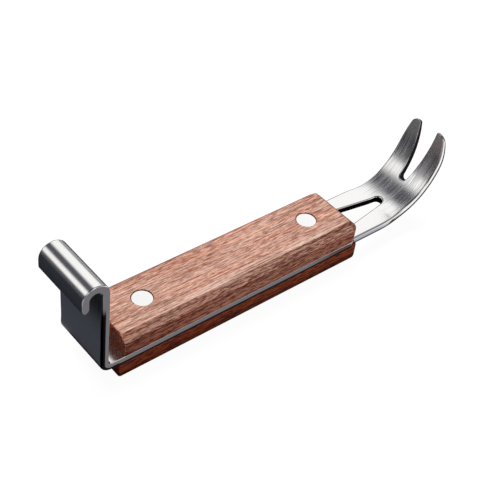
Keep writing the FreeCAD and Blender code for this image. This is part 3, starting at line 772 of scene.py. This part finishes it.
class Value:
    # a shader socket, so that maths written on it adds its nodes

    def __init__(self, paint, socket):
        self.paint = paint
        self.socket = socket

    def __add__(self, other):
        return self.paint.math("ADD", self, other)

    def __radd__(self, other):
        return self.paint.math("ADD", other, self)

    def __sub__(self, other):
        return self.paint.math("SUBTRACT", self, other)

    def __rsub__(self, other):
        return self.paint.math("SUBTRACT", other, self)

    def __mul__(self, other):
        return self.paint.math("MULTIPLY", self, other)

    def __rmul__(self, other):
        return self.paint.math("MULTIPLY", other, self)

    def __truediv__(self, other):
        return self.paint.math("DIVIDE", self, other)

    def __rtruediv__(self, other):
        return self.paint.math("DIVIDE", other, self)

    def __pow__(self, other):
        return self.paint.math("POWER", self, other)

    def __abs__(self):
        return self.paint.math("ABSOLUTE", self)

    def step(self, low, high):
        # 0 below low, 1 above high and 3t² - 2t³ between
        return self.paint.node("ShaderNodeMapRange", {"interpolation_type": "SMOOTHSTEP"},
                               {"Value": self, "From Min": low, "From Max": high})

    def band(self, low, high, soft):
        # 1 between low and high, falling to 0 over the soft width on both sides
        return self.step(low - soft, low) * (1 - self.step(high, high + soft))


class Paint:
    # the nodes of one material or of the world

    def __init__(self, owner):
        owner.use_nodes = True
        self.tree = owner.node_tree
        self.tree.nodes.clear()

    def put(self, socket, value):
        # a link for a shader value, a default for a number or a colour
        if isinstance(value, Value):
            self.tree.links.new(value.socket, socket)
        elif socket.type == "RGBA":
            socket.default_value = (*value, 1)
        else:
            socket.default_value = value

    def node(self, kind, settings=None, values=None, out=0):
        # one node: its settings first, then its sockets, and one of its outputs as a value
        made = self.tree.nodes.new(kind)
        for name, value in (settings or {}).items():
            if name == "stops":
                self.fillRamp(made.color_ramp, value)
            else:
                setattr(made, name, value)
        for name, value in (values or {}).items():
            self.put(made.inputs[name], value)
        return Value(self, made.outputs[out]) if made.outputs else None

    def fillRamp(self, ramp, stops):
        # (position, colour) pairs in rising order
        while len(ramp.elements) < len(stops):
            ramp.elements.new(1.0)
        for element, (place, colour) in zip(ramp.elements, stops):
            element.position = place
            element.color = (*colour, 1)

    def math(self, operation, *values):
        # one Math node on one or two values
        return self.node("ShaderNodeMath", {"operation": operation}, dict(enumerate(values)))

    def part(self, vector, axis):
        # one coordinate of a vector
        return self.node("ShaderNodeSeparateXYZ", {}, {0: vector}, axis)

    def mix(self, share, first, second, blend="MIX"):
        # colours: first where the share is 0, second where it is 1
        return self.node("ShaderNodeMix", {"data_type": "RGBA", "blend_type": blend},
                         {0: share, 6: first, 7: second}, 2)

    def noise(self, source, scale, detail=2.0, rough=0.5, place=(0, 0, 0), warp=0.0):
        # fractal noise of a vector that is first scaled along each axis and moved
        spot = self.node("ShaderNodeMapping", {}, {"Vector": source, "Scale": scale, "Location": place})
        return self.node("ShaderNodeTexNoise", {}, {"Vector": spot, "Scale": 1.0, "Detail": detail,
                                                    "Roughness": rough, "Distortion": warp})

    def bump(self, strength, depth, height):
        # a normal that is tilted by a height of so many metres
        return self.node("ShaderNodeBump", {}, {"Strength": strength, "Distance": depth, "Height": height})

    def ray(self, kind):
        # 1 for rays of this kind and 0 for the others
        return self.node("ShaderNodeLightPath", out="Is " + kind + " Ray")

    def glow(self, kind, colour, strength=1.0):
        # an Emission or a Background
        return self.node("ShaderNode" + kind, {}, {"Color": colour, "Strength": strength})

    def blend(self, share, first, second):
        # shaders: first where the share is 0, second where it is 1
        return self.node("ShaderNodeMixShader", {}, {0: share, 1: first, 2: second})

    def skin(self, colour, rough, bump, extra):
        # the surface of a piece, and the material's output
        values = {"Base Color": colour, "Roughness": rough, "Normal": bump, **extra}
        shader = self.node("ShaderNodeBsdfPrincipled", {}, values)
        self.node("ShaderNodeOutputMaterial", {}, {"Surface": shader})


def linear(red, green, blue):
    # a colour as seen on screen, 0 to 255, in scene-linear values: ((c + 0.055) / 1.055) ^ 2.4
    return tuple(((c / 255 + 0.055) / 1.055) ** 2.4 for c in (red, green, blue))


def newPaint(name):
    # a new material and the painter of its nodes
    material = bpy.data.materials.new(name)
    return material, Paint(material)


upperWoodLook = {
    "light": linear(238, 198, 181),
    "mid": linear(195, 149, 131),
    "dark": linear(128, 84, 70),
    "pore": linear(96, 58, 46),
    "flank": (1.32, 0.88, 0.74),  # painted shade: how much the sides' colour differs from the top's
    "flankContrast": 2.1,
    "ruddy": (1.12, 0.9, 0.8),
    "hookEndShade": (0.62, 0.54, 0.47),
    "hookShade": (0.66, 0.5, 0.44),
    "paintedSheen": linear(240, 214, 198),
    "darkArris": linear(118, 62, 42),
    "lowShade": 1.0,
    "rough": 0.55,
    "gloss": 0.2,
    "seed": (0.0, 0.0, 0.0),
    # the top face's border, in metres
    "side": 0.00975,
    "end": 0.05025,
}
lowerWoodLook = {
    "light": linear(232, 116, 66),
    "mid": linear(190, 84, 42),
    "dark": linear(96, 38, 20),
    "pore": linear(56, 20, 11),
    "flank": (1.0, 1.0, 1.0),
    "flankContrast": 0.6,
    "ruddy": (1.1, 0.8, 0.65),
    "hookEndShade": (0.4, 0.35, 0.3),
    "hookShade": (1.0, 0.9, 0.85),
    "paintedSheen": linear(214, 150, 120),
    "darkArris": linear(110, 48, 28),
    "lowShade": 0.4,
    "rough": 0.42,
    "gloss": 0.3,
    "seed": (3.1, 7.7, 2.3),
    "side": 0.012,
    "end": 0.0544,
}


# the grain of both scales
grain = {
    # noises, with a scale along x, y and z in 1/m: they are stretched along x
    "broad": {"scale": (16, 260, 260), "detail": 2},
    "streak": {"scale": (30, 1500, 1500), "detail": 3, "rough": 0.6, "warp": 0.25},
    "fibre": {"scale": (360, 2900, 2900), "detail": 2, "rough": 0.6},
    "dash": {"scale": (170, 2600, 2600), "detail": 1},
    "hue": {"scale": (40, 450, 450), "detail": 3, "rough": 0.6},
    "hueShift": 5,  # takes the hue to another part of the noise
    "weights": (0.5, 1.8, 2.4),  # of broad, streak and fibre in the tone
    # where a mask starts and where it is full
    "flankTilt": (0.2, 1.0),
    "topTilt": (0.05, 0.22),
    "sideTilt": (0.5, 0.9),
    "endTilt": (0.5, 0.9),
    "poreDash": (0.56, 0.68),
    "poreStreak": (0.3, 0.6),
    "ruddyHue": (0.42, 0.66),
    "sheenStreak": (0.4, 0.7),
    "hookX": (-0.052, -0.012),  # metres, as the four below
    "rise": (0.0005, 0.0055),
    "sheenWidth": 0.0045,
    "darkArrisSide": (-0.0002, 0.0004),
    "darkArrisEnd": 0.0008,
    # how strongly a mask shows
    "pore": 0.6,
    "ruddy": 0.7,
    "paintedSheen": (0.6, 0.05),  # on the streaks, and everywhere
    "darkArris": 0.6,
    # the surface
    "relief": (0.35, 0.3, 0.8),  # of fibre, streak and pore
    "bump": 0.5,
    "bumpDepth": 0.0002,
    "roughStreak": 0.2,
    "roughPore": 0.2,
}


def makeWood(name, w, g):
    # tone = 0.5 + contrast x weighted sum of noises stretched along the grain, then a three-colour ramp;
    # the sides get a painted shade tint, the top along the near arris a painted highlight, and the far and
    # end arrises are painted darker
    material, paint = newPaint(name)
    point = paint.node("ShaderNodeTexCoord", out="Object")
    facing = paint.node("ShaderNodeTexCoord", out="Normal")
    x, y, z = (paint.part(point, axis) for axis in "XYZ")
    flank = 1 - abs(paint.part(facing, "Z")).step(*g["flankTilt"])
    broad, streak, fibre, dash = (paint.noise(point, place=w["seed"], **g[kind])
                                  for kind in ("broad", "streak", "fibre", "dash"))
    hue = paint.noise(point, place=(w["seed"][0] + g["hueShift"], 0, 0), **g["hue"])
    contrast = flank * w["flankContrast"] + 1
    broadWeight, streakWeight, fibreWeight = g["weights"]
    tone = (broad - 0.5) * broadWeight + (streak - 0.5) * streakWeight + (fibre - 0.5) * fibreWeight
    stops = [(0.0, w["dark"]), (0.5, w["mid"]), (1.0, w["light"])]
    colour = paint.node("ShaderNodeValToRGB", {"stops": stops}, {"Fac": tone * contrast + 0.5})
    pore = dash.step(*g["poreDash"]) * streak.step(*g["poreStreak"])
    colour = paint.mix(pore * g["pore"], colour, w["pore"])
    # painted shade: the sides take their own tint, as they look in shade
    colour = paint.mix(flank, colour, w["flank"], "MULTIPLY")
    colour = paint.mix(hue.step(*g["ruddyHue"]) * g["ruddy"], colour, w["ruddy"], "MULTIPLY")
    # painted shade: the end faces towards the hook are darkened
    hookEndShade = (0 - paint.part(facing, "X")).step(*g["endTilt"])
    colour = paint.mix(hookEndShade, colour, w["hookEndShade"], "MULTIPLY")
    # the sides darken towards the hook
    colour = paint.mix(flank * (1 - x.step(*g["hookX"])), colour, w["hookShade"], "MULTIPLY")
    # painted highlight: a pale sheen on the top face along the near arris, broken by the streaks
    sheenMost, sheenLeast = g["paintedSheen"]
    paintedSheen = (0 - y).step(w["side"] - g["sheenWidth"], w["side"])
    paintedSheen = paintedSheen * (streak.step(*g["sheenStreak"]) * sheenMost + sheenLeast) * (1 - flank.step(*g["topTilt"]))
    colour = paint.mix(paintedSheen, colour, w["paintedSheen"])
    # the far and fork-end arrises are painted darker
    darkArrisFrom, darkArrisTo = g["darkArrisSide"]
    inSide = 1 - y.step(w["side"] + darkArrisFrom, w["side"] + darkArrisTo)
    inEnd = 1 - x.step(w["end"] - g["darkArrisEnd"], w["end"])
    darkArris = (1 - inSide * inEnd) * (1 - flank.step(*g["sideTilt"])) * g["darkArris"]
    colour = paint.mix(darkArris, colour, w["darkArris"])
    height = z.step(*g["rise"]) * (1 - w["lowShade"]) + w["lowShade"]
    grey = paint.node("ShaderNodeCombineColor", {}, {"Red": height, "Green": height, "Blue": height})
    colour = paint.mix(1.0, colour, grey, "MULTIPLY")
    fibreRelief, streakRelief, poreRelief = g["relief"]
    relief = fibre * fibreRelief + streak * streakRelief - pore * poreRelief
    bump = paint.bump(g["bump"], g["bumpDepth"], relief)
    rough = (streak - 0.5) * g["roughStreak"] + pore * g["roughPore"] + w["rough"]
    paint.skin(colour, rough, bump, {"Specular IOR Level": w["gloss"]})
    return material


steelLook = {
    "colour": linear(249, 248, 247),
    # painted shade: the dark colour of the cut walls
    "wall": linear(46, 42, 42),
    "rimShade": linear(40, 36, 38),
    # brush marks: noises stretched along the strip, with scales in 1/m, and their weights
    "fine": {"scale": (60, 2600, 1), "detail": 2, "rough": 0.6},
    "wide": {"scale": (25, 900, 1), "detail": 2, "rough": 0.6},
    "fineWeight": 1.2,
    "wideWeight": 0.8,
    "brush": 1.0,
    "brushDepth": 0.00003,
    "polished": 0.15,  # what is left of the brushing at the hook
    # the roughness, and what the brushing, the fork and the cut sides add to it
    "rough": 0.19,
    "roughBrush": 0.7,
    "roughFork": 0.08,
    "roughRim": -0.12,
    "roughWall": 0.3,
    # where a mask starts and where it is full, in metres or as a share of a normal
    "fork": (0.070, 0.080),
    "rimTilt": (0.1, 0.4),
    "wallTilt": (0.25, 0.6),
    "wallsFrom": (0.052, 0.053),
    "tail": (-0.056, -0.054),
    "curlHeight": (0.033, 0.037),
    # the painted shade on the rims starts at this share of the thickness, and sooner on the tail and at the
    # fork
    "rimShadeFrom": 0.62,
    "rimShadeSoft": 0.06,
    "rimShadeSooner": 0.12,
    # where the fork's slot takes over from the window, and the half width of both, in metres
    "slotFrom": 0.0786,
    "slotSoft": 0.0001,
    "cutHalf": 0.0059,
    "cutSoft": 0.0003,
}


def makeSteel(name, s):
    # polished at the hook, brushed lengthwise towards the fork, with painted shade: the cut walls in the slot
    # and window and the rims' outer part are painted dark
    material, paint = newPaint(name)
    point = paint.node("ShaderNodeTexCoord", out="Object")
    facing = paint.node("ShaderNodeTexCoord", out="Normal")
    strip = paint.node("ShaderNodeUVMap", {"uv_map": "strip"})
    x = paint.part(point, "X")
    forward = x.step(*s["fork"])
    fine, wide = (paint.noise(strip, **s[kind]) for kind in ("fine", "wide"))
    brush = (fine - 0.5) * s["fineWeight"] + (wide - 0.5) * s["wideWeight"]
    rim = abs(paint.part(facing, "Y")).step(*s["rimTilt"])
    brush = brush * (forward * (1 - s["polished"]) + s["polished"]) * (1 - rim)
    bump = paint.bump(s["brush"], s["brushDepth"], brush)
    rough = brush * s["roughBrush"] + s["rough"] + forward * s["roughFork"] + rim * s["roughRim"]
    # the window's walls are upright and the slot's run along the tilted cut, all close to the middle line
    tilt = math.radians(blade["faceTilt"])
    alongCut = paint.part(facing, "X") * math.cos(tilt) - paint.part(facing, "Z") * math.sin(tilt)
    atSlot = x.step(s["slotFrom"] - s["slotSoft"], s["slotFrom"] + s["slotSoft"])
    square = lerp(abs(paint.part(facing, "Z")), abs(alongCut), atSlot)
    half, soft = s["cutHalf"], s["cutSoft"]
    nearMiddle = 1 - abs(paint.part(point, "Y")).step(half - soft, half + soft)
    cutWall = (1 - square.step(*s["wallTilt"])) * nearMiddle * x.step(*s["wallsFrom"])
    # painted shade: the rims' part towards the outer side is painted dark, as the shadowed floor under the
    # tool that they mirror, but not on the curl
    depth = paint.part(paint.node("ShaderNodeUVMap", {"uv_map": "depth"}), "X")
    onTail = 1 - x.step(*s["tail"])
    shadedRim = depth + onTail * s["rimShadeSooner"] + forward * s["rimShadeSooner"]
    shadedRim = shadedRim.step(s["rimShadeFrom"], s["rimShadeFrom"] + s["rimShadeSoft"])
    shadedRim = shadedRim * rim * (1 - onTail * paint.part(point, "Z").step(*s["curlHeight"]))
    # painted shade: the cut walls in the slot and window are painted dark
    colour = paint.mix(cutWall, s["colour"], s["wall"])
    colour = paint.mix(shadedRim, colour, s["rimShade"])
    paint.skin(colour, rough + cutWall * s["roughWall"], bump, {"Metallic": 1.0})
    return material


rivetLook = {
    "colour": linear(252, 252, 250),
    "rough": 0.24,
    "roughGrain": 0.06,
    "grain": (1500, 1500, 1500),  # 1/m
    "bump": 0.05,
    "bumpDepth": 0.00003,
}


def makeRivetSteel(name, s):
    # satin heads: roughness = rough + (noise - 0.5) x grain's share, from a fine even grain
    material, paint = newPaint(name)
    point = paint.node("ShaderNodeTexCoord", out="Object")
    satin = paint.noise(point, s["grain"])
    bump = paint.bump(s["bump"], s["bumpDepth"], satin)
    paint.skin(s["colour"], (satin - 0.5) * s["roughGrain"] + s["rough"], bump, {"Metallic": 1.0})
    return material


def dress(piece, material):
    # one material for the whole piece
    piece.data.materials.clear()
    piece.data.materials.append(material)


dress(steelStrip, makeSteel("brushedSteel", steelLook))
dress(upperWood, makeWood("upperWood", upperWoodLook, grain))
dress(lowerWood, makeWood("lowerWood", lowerWoodLook, grain))
rivetMaterial = makeRivetSteel("rivetSteel", rivetLook)
for piece in rivets:
    dress(piece, rivetMaterial)
print("materials made")


# the studio: a white floor and backdrop, and one large soft lamp above and behind

studio = {
    "floor": 3.0,
    "floorShade": 0.3,
    "glow": 0.95,
    "catch": 0.1,
    "lampPlace": (0.05, 0.62, 1.1),
    "lampSize": 0.9,
    "lampPower": 17.0,
    "ambient": 0.26,
}

# painted shadows: what polished steel mirrors of the table, greys beside, under, behind and before the tool
# that stand in for the shade round it, and the borders between them in metres, each as where it starts and
# where it is full
table = {
    "white": (1.0, 1.0, 1.0),
    "near": (0.17, 0.162, 0.175),
    "nearEnd": (0.09, 0.065, 0.055),
    "neck": (0.42, 0.41, 0.48),
    "under": (0.015, 0.015, 0.017),
    "far": (0.12, 0.12, 0.125),
    "face": (0.044, 0.047, 0.06),
    "curl": (0.002, 0.0015, 0.0013),
    "arm": (0.022, 0.025, 0.032),
    "black": (0.003, 0.003, 0.003),
    "open": (0.3, 0.3, 0.31),
    "riseFrom": 0.085,  # where the fork starts to rise
    "riseBow": 1.5,
    "riseScale": 1.6,
    "underY": (-0.0160, -0.0145),
    "underX": (0.16, 0.2),
    "nearEndX": (0.035, 0.052),
    "neckX": (0.058, 0.062),
    "nearX": (0.072, 0.092),
    "farY": (0.012, 0.016),
    "farX": (0.35, 0.45),
    "leftX": (-0.068, -0.065),
    "faceX": (-0.090, -0.088),
    "curlX": (-0.0885, -0.0793, 0.0004),
    "blackY": (-0.0100, -0.0085),
    "openY": (-0.06, -0.03),
}


def tableTone(paint, x, y, t):
    # painted shadow: the table's tone for reflections. each region of the plan is laid over the ones before
    # it. the near border of the dark strip runs outwards below the rising fork as scale x (x - from)^bow
    border = paint.math("MAXIMUM", x - t["riseFrom"], 0.0) ** t["riseBow"] * t["riseScale"] + y
    beyond = border.step(*t["underY"])
    near = paint.mix(x.step(*t["nearEndX"]), t["near"], t["nearEnd"])
    near = paint.mix(x.step(*t["neckX"]), near, t["neck"])
    tone = paint.mix((1 - beyond) * (1 - x.step(*t["nearX"])), t["white"], near)
    tone = paint.mix(beyond * (1 - x.step(*t["underX"])), tone, t["under"])
    tone = paint.mix(y.step(*t["farY"]) * (1 - x.step(*t["farX"])), tone, t["far"])
    # left of the tail: its flat face, the inside of the curl and the curl's free arm mirror one after another
    left = paint.mix(x.step(*t["faceX"]), t["arm"], t["face"])
    left = paint.mix(x.band(*t["curlX"]), left, t["curl"])
    left = paint.mix(1 - y.step(*t["blackY"]), left, t["black"])
    left = paint.mix(1 - y.step(*t["openY"]), left, t["open"])
    return paint.mix(1 - x.step(*t["leftX"]), tone, left)


def makeFloor(s, t):
    # white to the camera; in reflections the table shows painted shadows, darker regions beside and under the
    # tool
    half = s["floor"]
    corners = [(-half, -half, 0), (half, -half, 0), (half, half, 0), (-half, half, 0)]
    mesh = bpy.data.meshes.new("floor")
    mesh.from_pydata(corners, [], [(0, 1, 2, 3)])
    floor = bpy.data.objects.new("floor", mesh)
    bpy.context.collection.objects.link(floor)
    material, paint = newPaint("floorPaper")
    point = paint.node("ShaderNodeTexCoord", out="Object")
    mirrored = tableTone(paint, paint.part(point, "X"), paint.part(point, "Y"), t)
    camera, glossy, through = (paint.ray(kind) for kind in ("Camera", "Glossy", "Transmission"))
    white = paint.glow("Emission", t["white"], s["glow"])
    catch = paint.node("ShaderNodeBsdfDiffuse", {}, {"Color": (s["catch"],) * 3})
    bright = paint.node("ShaderNodeAddShader", {}, {0: white, 1: catch})
    rimShade = paint.node("ShaderNodeBsdfDiffuse", {}, {"Color": (s["floorShade"],) * 3})
    shown = paint.blend(camera + through, rimShade, bright)
    both = paint.blend(glossy, shown, paint.glow("Emission", mirrored))
    paint.node("ShaderNodeOutputMaterial", {}, {"Surface": both})
    dress(floor, material)
    return floor


def makeLamp(name, place, target, size, power):
    # a square lamp turned to the target, left out of reflections
    lamp = bpy.data.lights.new(name, "AREA")
    lamp.shape = "SQUARE"
    lamp.size = size
    lamp.energy = power
    item = bpy.data.objects.new(name, lamp)
    item.location = place
    item.rotation_euler = (Vector(target) - Vector(place)).to_track_quat("-Z", "Y").to_euler()
    item.visible_glossy = False
    bpy.context.collection.objects.link(item)
    return item


# what steel mirrors of the room
room = {
    # by the direction's angle in the tool's own side view: (degrees, grey, added blue)
    "bands": [
        (-180, 0.08, 0), (-20, 0.06, 0), (6, 0.1, 0), (26, 1.0, 0), (71, 1.0, 0), (87, 0.085, 0.02),
        (116, 0.08, 0.012), (130, 1.0, 0), (148, 1.0, 0), (161, 0.08, 0.01), (180, 0.07, 0.01),
    ],
    "white": (1.0, 1.0, 1.0),
    "dark": (0.03, 0.03, 0.032),
    "front": (0.25, 0.24, 0.25),
    # the dark room's borders along y: near side, both sides of the panels, and far side
    "nearY": (-0.75, -0.5),
    "panelY": (-0.2, 0.3),
    "panelEndY": (0.68, 0.8),
    "farY": (0.88, 0.95),
    # the room before the fork
    "frontY": (-0.3, -0.1),
    "frontX": (0.3, 0.5),
}


def makeWorld(s, r):
    # white to the camera, grey as light, and for reflections bands by angle = atan2(z, x)
    world = bpy.data.worlds.new("studio")
    bpy.context.scene.world = world
    paint = Paint(world)
    direction = paint.node("ShaderNodeTexCoord", out="Generated")
    x, y, z = (paint.part(direction, axis) for axis in "XYZ")
    share = paint.math("ARCTAN2", z, x) / (2 * math.pi) + 0.5
    stops = [((degrees + 180) / 360, (grey, grey, grey + blue)) for degrees, grey, blue in r["bands"]]
    bands = paint.node("ShaderNodeValToRGB", {"stops": stops}, {"Fac": share})
    # the bright panels stand beyond the tool, so edges that look to either side mirror the dark room
    panel = y.step(*r["panelY"]) * (1 - y.step(*r["panelEndY"]))
    sideways = (1 - panel) * y.step(*r["nearY"]) * (1 - y.step(*r["farY"]))
    bands = paint.mix(sideways, bands, r["dark"])
    forwards = (1 - y.step(*r["frontY"])) * x.step(*r["frontX"])
    bands = paint.mix(forwards, bands, r["front"])
    camera, glossy = (paint.ray(kind) for kind in ("Camera", "Glossy"))
    plain = paint.glow("Background", r["white"], s["ambient"])
    shown = paint.blend(glossy, plain, paint.glow("Background", bands))
    both = paint.blend(camera, shown, paint.glow("Background", r["white"]))
    paint.node("ShaderNodeOutputWorld", {}, {"Surface": both})


makeFloor(studio, table)
makeLamp("overhead", studio["lampPlace"], (0, 0, 0), studio["lampSize"], studio["lampPower"])
makeWorld(studio, room)
bpy.context.scene.view_settings.view_transform = "Standard"
print("studio made")
